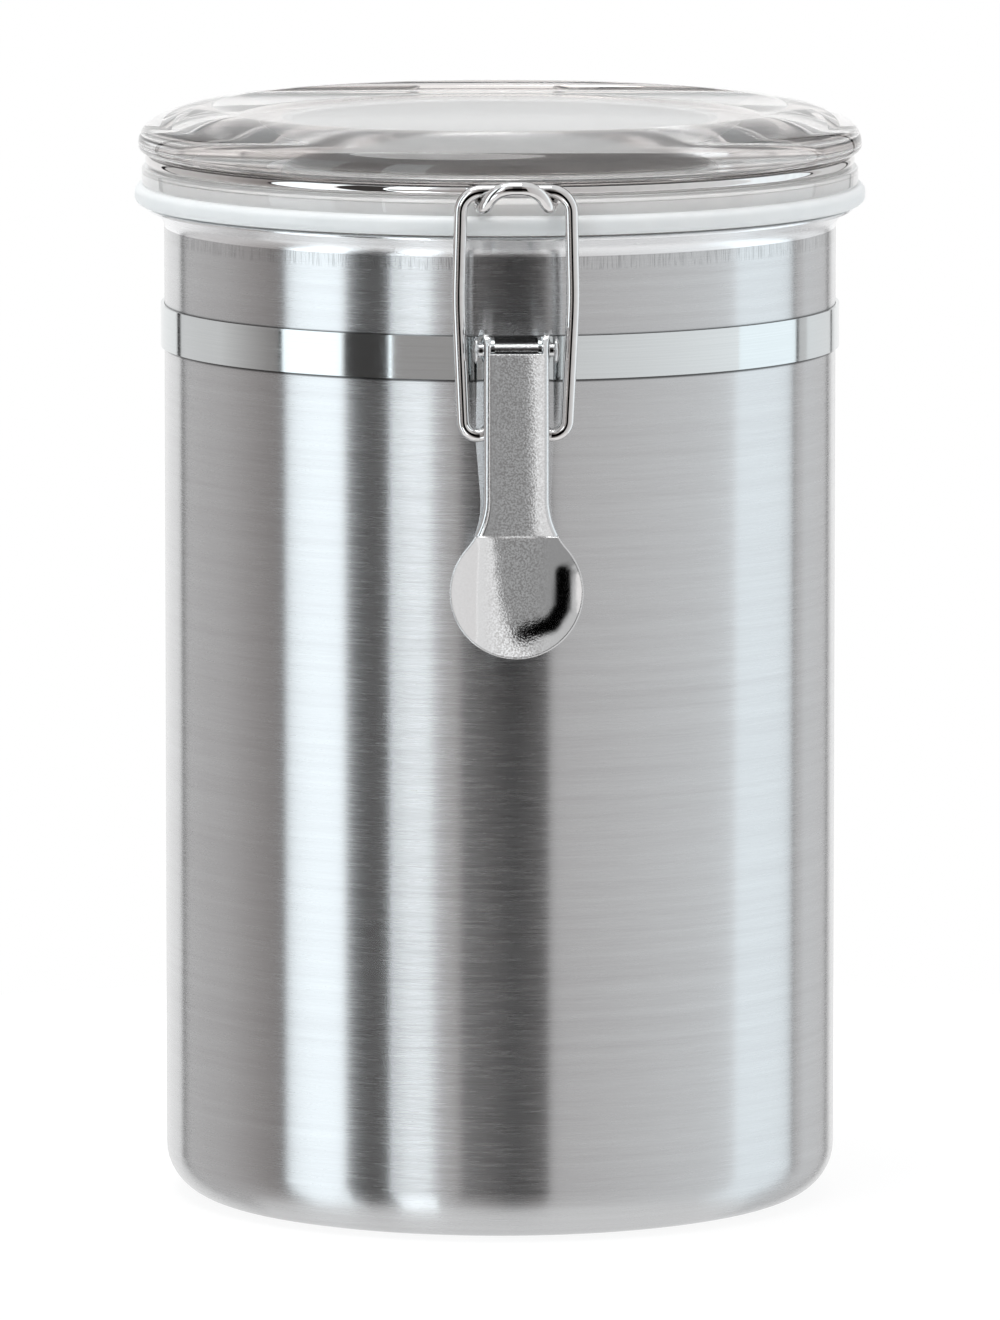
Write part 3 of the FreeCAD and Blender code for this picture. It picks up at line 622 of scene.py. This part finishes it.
chromed_wire, tree = empty_material("chromed_drawn_wire")
place = add(tree, "ShaderNodeTexCoord").outputs["Object"]
uneven = add(tree, "ShaderNodeTexNoise", {"Vector": place, "Scale": 1 / wire_unevenness, "Detail": 2.0})
bump = add(tree, "ShaderNodeBump", {"Height": uneven.outputs["Fac"], "Strength": 0.6, "Distance": wire_depth})
rough = add(tree, "ShaderNodeMapRange", {"Value": uneven.outputs["Fac"], "To Min": 0.0, "To Max": 0.03})
colour = add(tree, "ShaderNodeMix", {"Factor": uneven.outputs["Fac"]}, data_type="RGBA")
colour.inputs[6].default_value = linear("#D3D1D0")
colour.inputs[7].default_value = linear("#E0DEDD")
chrome = add(tree, "ShaderNodeBsdfPrincipled", {
    "Base Color": colour.outputs[2],
    "Metallic": 1.0,
    "Roughness": rough.outputs[0],
    "Normal": bump.outputs[0],
})
add(tree, "ShaderNodeOutputMaterial", {"Surface": chrome.outputs[0]})
for name in ("bail_wire", "lid_wire"):
    nodes[name].material_slots[0].material = chromed_wire
print("wire unevenness:", wire_unevenness / MM, "mm long")

# %% [markdown]
# The lid is moulded clear acrylic. It bends light with an index of 1.49 and swallows very little of it. The mould for
# its sunken top panel is satin, so the panel is cloudy inside a radius of 45 mm, while the rim is as clear as glass.
# The middle, inside a radius of 38 mm, is thin, and its colour is painted greyer, as painted shade for the dim inside
# of the can that shows through it. Slow mould marks keep the clear part from being perfect.

# %% Clear acrylic
mould_mark_length = 25 * MM
mould_mark_depth = 0.02 * MM
panel_radius = 45 * MM
thin_radius = 38 * MM
panel_edge = 1 * MM
panel_satin = 0.1
acrylic_index = 1.49

clear_acrylic, tree = empty_material("clear_moulded_acrylic")
place = add(tree, "ShaderNodeTexCoord").outputs["Object"]
marks = add(tree, "ShaderNodeTexNoise", {"Vector": place, "Scale": 1 / mould_mark_length, "Detail": 1.0})
bump = add(tree, "ShaderNodeBump", {"Height": marks.outputs["Fac"], "Strength": 0.5, "Distance": mould_mark_depth})
flat_place = add(tree, "ShaderNodeVectorMath", {0: place, 1: (1, 1, 0)}, operation="MULTIPLY")
from_axis = add(tree, "ShaderNodeVectorMath", {0: flat_place.outputs[0]}, operation="LENGTH")
panel = add(tree, "ShaderNodeMapRange", {
    "Value": from_axis.outputs["Value"],
    "From Min": panel_radius - panel_edge,
    "From Max": panel_radius,
    "To Min": 1.0,
    "To Max": 0.0,
})
satin = add(tree, "ShaderNodeMath", {0: panel.outputs[0], 1: panel_satin}, operation="MULTIPLY")
clear_share = add(tree, "ShaderNodeMath", {0: 1.0, 1: satin.outputs[0]}, operation="SUBTRACT")
rim_colour = add(tree, "ShaderNodeMix", {"Factor": marks.outputs["Fac"]}, data_type="RGBA")
rim_colour.inputs[6].default_value = linear("#F0EAE7")
rim_colour.inputs[7].default_value = linear("#F4EFED")
# Painted shade: the thin middle is coloured greyer for the dim can under it.
thin = add(tree, "ShaderNodeMath", {0: from_axis.outputs["Value"], 1: thin_radius}, operation="LESS_THAN")
colour = add(tree, "ShaderNodeMix", {"Factor": thin.outputs[0]}, data_type="RGBA")
tree.links.new(rim_colour.outputs[2], colour.inputs[6])
colour.inputs[7].default_value = linear("#D8DADA")
acrylic = add(tree, "ShaderNodeBsdfPrincipled", {
    "Base Color": colour.outputs[2],
    "Roughness": satin.outputs[0],
    "IOR": acrylic_index,
    "Transmission Weight": clear_share.outputs[0],
    "Normal": bump.outputs[0],
})
add(tree, "ShaderNodeOutputMaterial", {"Surface": acrylic.outputs[0]})
print("acrylic index:", acrylic_index)

# %% [markdown]
# The lid is round about the can's axis, so it can be turned like a pot on a wheel: half of its section is a line of
# points, each a radius and a height in millimetres, and that line is carried round the axis. Clear plastic shows every
# facet twice, once on each side, so the wheel takes 256 small steps.

# %% Turning a section round the axis
turn_steps = 256
sharp_angle = math.radians(35)


def arc_points(radius, height, bend, start, end, steps):
    """Points of an arc in a section. Its centre is at this radius and height, and its angles are in degrees."""
    turns = [math.radians(start + (end - start) * k / steps) for k in range(steps + 1)]
    return [(radius + bend * math.cos(t), height + bend * math.sin(t)) for t in turns]


def turned(name, section, finish):
    """A solid of revolution from a closed section, smooth but for its sharp corners."""
    form = bmesh.new()
    rings = []
    for radius, height in section:
        turns = [2 * math.pi * k / turn_steps for k in range(turn_steps if radius else 1)]
        ring = [(radius * math.cos(t), radius * math.sin(t), height) for t in turns]
        rings.append([form.verts.new([size * MM for size in point]) for point in ring])
    for ring, after in zip(rings, rings[1:] + rings[:1]):
        for k in range(turn_steps if len(ring) + len(after) > 2 else 0):
            near, far = k % len(ring), (k + 1) % len(ring)
            near_after, far_after = k % len(after), (k + 1) % len(after)
            corners = [ring[near], after[near_after], after[far_after], ring[far]]
            form.faces.new(list(dict.fromkeys(corners)))
    bmesh.ops.recalc_face_normals(form, faces=form.faces)
    mesh = bpy.data.meshes.new(name)
    form.to_mesh(mesh)
    form.free()
    mesh.shade_smooth()
    mesh.set_sharp_from_angle(angle=sharp_angle)
    mesh.materials.append(finish)
    piece = bpy.data.objects.new(name, mesh)
    scene.collection.objects.link(piece)
    return piece


# %% [markdown]
# From the bottom up the lid's section is a plug wall that drops into the can, a shelf with a skirt at its edge, the
# groove for the wire ring, the thick bulged rim, its crest, and the sunken panel. The rim is solid far inwards and only
# the panel in the middle is thin. That is why the rim acts as a lens: light that meets its flat underside is thrown
# back up and looks pale, and lower down the dark inside of the can shows through.

# %% Lid
plug_inner, plug_outer, plug_bottom = 52.8, 55.0, 171.6
skirt_inner, skirt_outer, skirt_bottom = 61.2, 62.3, 177.0
shelf_bottom, shelf_top = 178.95, 180.05
corner_round, inner_round, crest_blend = 0.5, 2.0, 1.2
rim_inner, rim_under = 38.0, 177.5
groove_centre_radius, groove_centre_height, groove_bend = 60.55, 181.3, 1.25
bulge_radius, bulge_height, under_round, bulge_round = 62.9, 183.9, 1.35, 4.6
crest_radius, crest_height = 50.0, 190.5
panel_slope_radius, panel_top, panel_under = 45.4, 188.6, 186.4

rise = crest_height - bulge_height
inset = bulge_radius - crest_radius
crest_round = (inset**2 + rise**2 - 2 * inset * bulge_round) / (2 * (rise - bulge_round))
meet = math.degrees(math.atan2(crest_round - rise, inset - bulge_round))
slope = math.degrees(math.atan2(crest_height - panel_top, crest_radius - panel_slope_radius))
blend_run = crest_blend * math.tan(math.radians(slope / 2))

lid_section = [(plug_inner, plug_bottom), (plug_outer, plug_bottom), (plug_outer, shelf_bottom)]
lid_section += [(skirt_inner, shelf_bottom), (skirt_inner, skirt_bottom)]
lid_section += arc_points(skirt_outer - corner_round, skirt_bottom + corner_round, corner_round, -90, 0, 6)
lid_section += arc_points(skirt_outer - corner_round, shelf_top - corner_round, corner_round, 0, 90, 6)
lid_section += arc_points(groove_centre_radius, groove_centre_height, groove_bend, 270, 90, 14)
lid_section += arc_points(bulge_radius - under_round, bulge_height, under_round, -90, 0, 8)
lid_section += arc_points(bulge_radius - bulge_round, bulge_height, bulge_round, 0, meet, 16)[1:]
# The two arcs at the crest stop short of it, so that their last points stay apart.
lid_section += arc_points(crest_radius, crest_height - crest_round, crest_round, meet, 87, 16)[1:]
lid_section += arc_points(crest_radius + blend_run, crest_height - crest_blend, crest_blend, 92, 90 + slope, 6)
lid_section += arc_points(panel_slope_radius - blend_run, panel_top + crest_blend, crest_blend, 270 + slope, 270, 6)
lid_section += [(0, panel_top), (0, panel_under)]
lid_section += arc_points(rim_inner - inner_round, panel_under - inner_round, inner_round, 90, 0, 10)
lid_section += [(rim_inner, rim_under), (plug_inner, rim_under)]
lid_piece = turned("turned_lid", lid_section, clear_acrylic)
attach(lid_piece, "lid")
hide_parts("lid")
lid_piece.visible_shadow = False
print(f"lid: {len(lid_section)} points in its section, {len(lid_piece.data.polygons)} faces")

# %% [markdown]
# The seal is milky silicone rubber. Light goes a few millimetres into it before it comes out again, so it looks soft
# and white, with a dull skin from the mould.

# %% White silicone
silicone_cloud = 6 * MM
light_depth = 2.5 * MM
silicone_index = 1.41

white_silicone, tree = empty_material("milky_silicone_rubber")
place = add(tree, "ShaderNodeTexCoord").outputs["Object"]
cloud = add(tree, "ShaderNodeTexNoise", {"Vector": place, "Scale": 1 / silicone_cloud, "Detail": 3.0})
colour = add(tree, "ShaderNodeMix", {"Factor": cloud.outputs["Fac"]}, data_type="RGBA")
colour.inputs[6].default_value = linear("#E5E8E9")
colour.inputs[7].default_value = linear("#F0F2F2")
rough = add(tree, "ShaderNodeMapRange", {"Value": cloud.outputs["Fac"], "To Min": 0.3, "To Max": 0.45})
rubber = add(tree, "ShaderNodeBsdfPrincipled", {
    "Base Color": colour.outputs[2],
    "Roughness": rough.outputs[0],
    "IOR": silicone_index,
    "Subsurface Weight": 0.6,
    "Subsurface Radius": (1.0, 1.0, 1.0),
    "Subsurface Scale": light_depth,
})
add(tree, "ShaderNodeOutputMaterial", {"Surface": rubber.outputs[0]})
print("light goes", light_depth / MM, "mm into the silicone")

# %% [markdown]
# The seal is turned too. Its step stands inside the lid's skirt, and its lip sticks out a little all round. Soft rubber
# wets the acrylic it is pressed on, so no film of air is left between them and the clear flange looks white. The mesh
# gets the same effect by reaching three hundredths of a millimetre into the acrylic.

# %% Seal
wet_contact = 0.03
seal_outer, seal_bottom, seal_round = 63.5, 173.65, 1.3
seal_lip_top = skirt_bottom + wet_contact

seal_section = [(plug_outer - wet_contact, seal_bottom)]
seal_section += arc_points(seal_outer - seal_round, seal_bottom + seal_round, seal_round, -90, 0, 8)
seal_section += arc_points(seal_outer - seal_round, seal_lip_top - seal_round, seal_round, 0, 90, 8)
seal_section += [(skirt_inner + wet_contact, seal_lip_top), (skirt_inner + wet_contact, shelf_bottom + wet_contact)]
seal_section += [(plug_outer - wet_contact, shelf_bottom + wet_contact)]
seal_piece = turned("turned_seal", seal_section, white_silicone)
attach(seal_piece, "lid")
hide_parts("lid_gasket")
print(f"seal: {2 * seal_outer} mm across, {seal_lip_top - seal_bottom:.1f} mm high at its lip")
